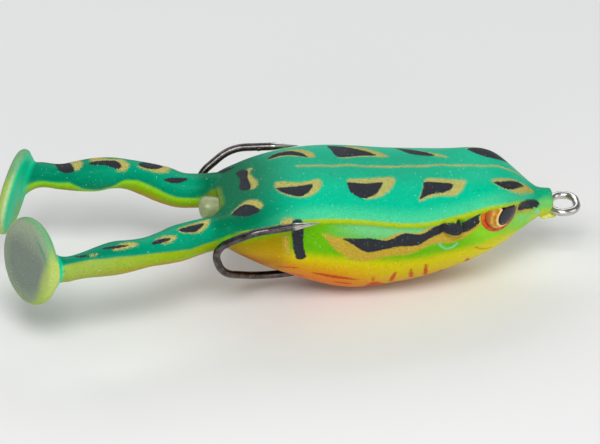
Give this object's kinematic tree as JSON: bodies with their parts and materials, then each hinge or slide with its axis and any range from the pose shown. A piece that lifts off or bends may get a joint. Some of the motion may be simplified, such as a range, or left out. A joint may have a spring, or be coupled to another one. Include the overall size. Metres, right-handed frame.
{
  "type": "hollow frog surface lure",
  "caption": "Hollow soft-bodied frog surface lure with a wire line tie, a weedless double hook lying along its back and swimming legs with round paddle feet.",
  "frame": {"origin": "centre of the line-tie loop at the nose", "axes": "+X forward along the pull of the line, +Z towards the frog's back, +Y to the frog's left"},
  "size_m": [0.1128, 0.0406, 0.0261],
  "materials": {
    "body_skin": "painted soft hollow skin, satin, teal-green back with dark leopard spots, lime flanks and a yellow-orange belly",
    "leg_skin": "painted soft solid moulding, teal above, yellow-green below, dark spots",
    "foot_skin": "soft solid paddle, plain grey-green sole, lime rim",
    "eye": "glossy domed eye, gold iris and dark pupil, orange-red rim",
    "seal": "soft yellow-green sealant",
    "plug": "translucent pale sealant",
    "hook_wire": "black-nickel plated spring wire, bright at the loop and points",
    "solder": "dull solder",
    "cast_weight": "dull cast metal"
  },
  "bodies": {
    "body": {"body_shell": "body_skin", "hip_block": "leg_skin", "nose_seal": "seal", "tail_plug": "plug", "left_eye": "eye", "right_eye": "eye"},
    "hook": {"double_hook": "hook_wire", "shank_braze": "solder", "belly_weight": "cast_weight"},
    "left_thigh": {"left_thigh": "leg_skin"},
    "left_calf": {"left_calf": "leg_skin"},
    "left_foot": {"left_foot": "foot_skin"},
    "right_thigh": {"right_thigh": "leg_skin"},
    "right_calf": {"right_calf": "leg_skin"},
    "right_foot": {"right_foot": "foot_skin"}
  },
  "joints": [
    {"name": "hook_rise", "type": "hinge", "parent": "body", "child": "hook", "pos_m": [-0.0057, 0, 0], "axis": [0, 1, 0], "range_deg": [0, 2.5], "stiffness_Nm_per_rad": 0.05},
    {"name": "left_hip", "type": "hinge", "parent": "body", "child": "left_thigh", "pos_m": [-0.0706, 0.0078, 0.0047], "axis": [0, 0, -1], "range_deg": [-3, 20], "stiffness_Nm_per_rad": 0.006},
    {"name": "left_knee", "type": "hinge", "parent": "left_thigh", "child": "left_calf", "pos_m": [-0.0833, 0.0139, 0.0058], "axis": [0, 1, 0], "range_deg": [-25, 20], "stiffness_Nm_per_rad": 0.004},
    {"name": "left_ankle", "type": "hinge", "parent": "left_calf", "child": "left_foot", "pos_m": [-0.099, 0.0168, 0.0053], "axis": [0, 0, -1], "range_deg": [-8, 30], "stiffness_Nm_per_rad": 0.002},
    {"name": "right_hip", "type": "hinge", "parent": "body", "child": "right_thigh", "pos_m": [-0.0706, -0.0078, 0.0047], "axis": [0, 0, 1], "range_deg": [-3, 20], "stiffness_Nm_per_rad": 0.006},
    {"name": "right_knee", "type": "hinge", "parent": "right_thigh", "child": "right_calf", "pos_m": [-0.0833, -0.0139, 0.0058], "axis": [0, 1, 0], "range_deg": [-25, 20], "stiffness_Nm_per_rad": 0.004},
    {"name": "right_ankle", "type": "hinge", "parent": "right_calf", "child": "right_foot", "pos_m": [-0.099, -0.0168, 0.0053], "axis": [0, 0, 1], "range_deg": [-8, 30], "stiffness_Nm_per_rad": 0.002}
  ]
}
